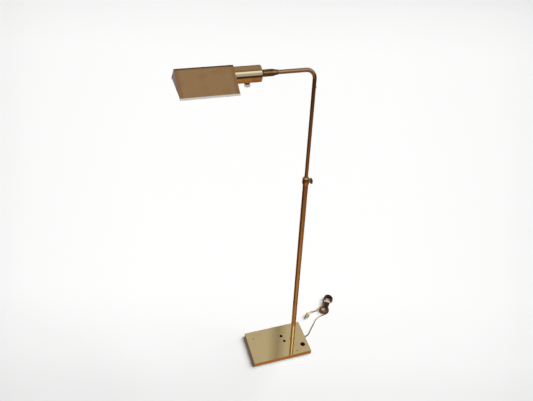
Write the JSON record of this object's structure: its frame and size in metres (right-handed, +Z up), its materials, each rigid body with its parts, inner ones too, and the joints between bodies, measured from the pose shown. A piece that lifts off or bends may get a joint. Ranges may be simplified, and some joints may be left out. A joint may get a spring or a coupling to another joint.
{
  "type": "bridge floor lamp",
  "caption": "Brass pharmacy floor lamp: telescoping post, bent arm, swivelling tent shade, flat weighted base, lead tied in a hank.",
  "frame": {"origin": "where the post's axis meets the floor, on the underside of the felt", "axes": "+Z up along the post, +X towards the short edge where the lead leaves, -X along the arm to the shade, +Y to the back"},
  "size_m": [0.6919, 0.2934, 1.2663],
  "materials": {
    "base_brass": "polished",
    "brass": "polished",
    "shade_brass": "satin",
    "dark_brass": "tarnished",
    "blade_brass": "satin",
    "steel": "plated",
    "felt": "pressed felt",
    "nylon": "moulded",
    "cord_brown": "satin",
    "black_rubber": "matte",
    "tie_paper": "matte",
    "plug_cream": "moulded",
    "knob_cream": "moulded",
    "porcelain": "glazed",
    "frosted_glass": "frosted"
  },
  "bodies": {
    "stand": {"base_plate": "base_brass", "base_felt": "felt", "post_ring": "brass", "lower_tube": "brass", "post_plug": "steel", "base_nipple": "steel", "base_washer": "steel", "base_nut": "steel", "clamp_collar": "brass", "top_bush": "nylon", "bush_screw": "dark_brass", "post_lead": "cord_brown", "cord_grommet": "black_rubber", "cord_lead": "cord_brown", "cord_hank": "cord_brown", "cord_tie": "tie_paper", "cord_tail": "cord_brown", "plug_body": "plug_cream", "plug_blades": "blade_brass"},
    "guide": {"guide_bush": "nylon"},
    "mast": {"upper_tube": "brass", "guide_clips": "steel", "stop_screw": "brass", "swivel_body": "brass", "swivel_set_screw": "dark_brass", "arm_lead": "cord_brown"},
    "head": {"swivel_spindle": "dark_brass", "spindle_washer": "steel", "spindle_nut": "steel", "socket_housing": "brass", "socket_cap": "steel", "lampholder": "porcelain", "lampholder_shell": "blade_brass", "lampholder_contact": "blade_brass", "switch_bushing": "brass", "switch_ring_nut": "dark_brass", "shade_canopy": "shade_brass", "shade_end_outer": "shade_brass", "shade_end_inner": "shade_brass", "bulb_glass": "frosted_glass", "bulb_cap": "blade_brass"},
    "knob": {"switch_knob": "knob_cream"},
    "pad": {"clamp_pad": "nylon"},
    "thumb": {"thumb_screw": "brass"}
  },
  "joints": [
    {"name": "height_slide", "type": "slide", "parent": "stand", "child": "guide", "axis": [0, 0, 1], "range_m": [-0.32, 0.1]},
    {"name": "post_swivel", "type": "hinge", "parent": "guide", "child": "mast", "pos_m": [0, 0, 0.675], "axis": [0, 0, 1], "continuous": true},
    {"name": "head_swivel", "type": "hinge", "parent": "mast", "child": "head", "pos_m": [-0.1632, 0, 1.2356], "axis": [1, 0, 0], "range_deg": [-150, 150]},
    {"name": "knob_turn", "type": "hinge", "parent": "head", "child": "knob", "pos_m": [-0.20974, 0, 1.2356], "axis": [0, 0, 1], "range_deg": [0, 300]},
    {"name": "screw_feed", "type": "slide", "parent": "stand", "child": "pad", "axis": [1, 0, 0], "range_m": [0, 0.0021]},
    {"name": "thumb_turn", "type": "hinge", "parent": "pad", "child": "thumb", "pos_m": [0.018, 0, 0.841], "axis": [1, 0, 0], "range_deg": [0, 720]}
  ],
  "couplings": [
    {"joint": "screw_feed", "follows": "thumb_turn", "m_per_rad": 0.00015915}
  ]
}
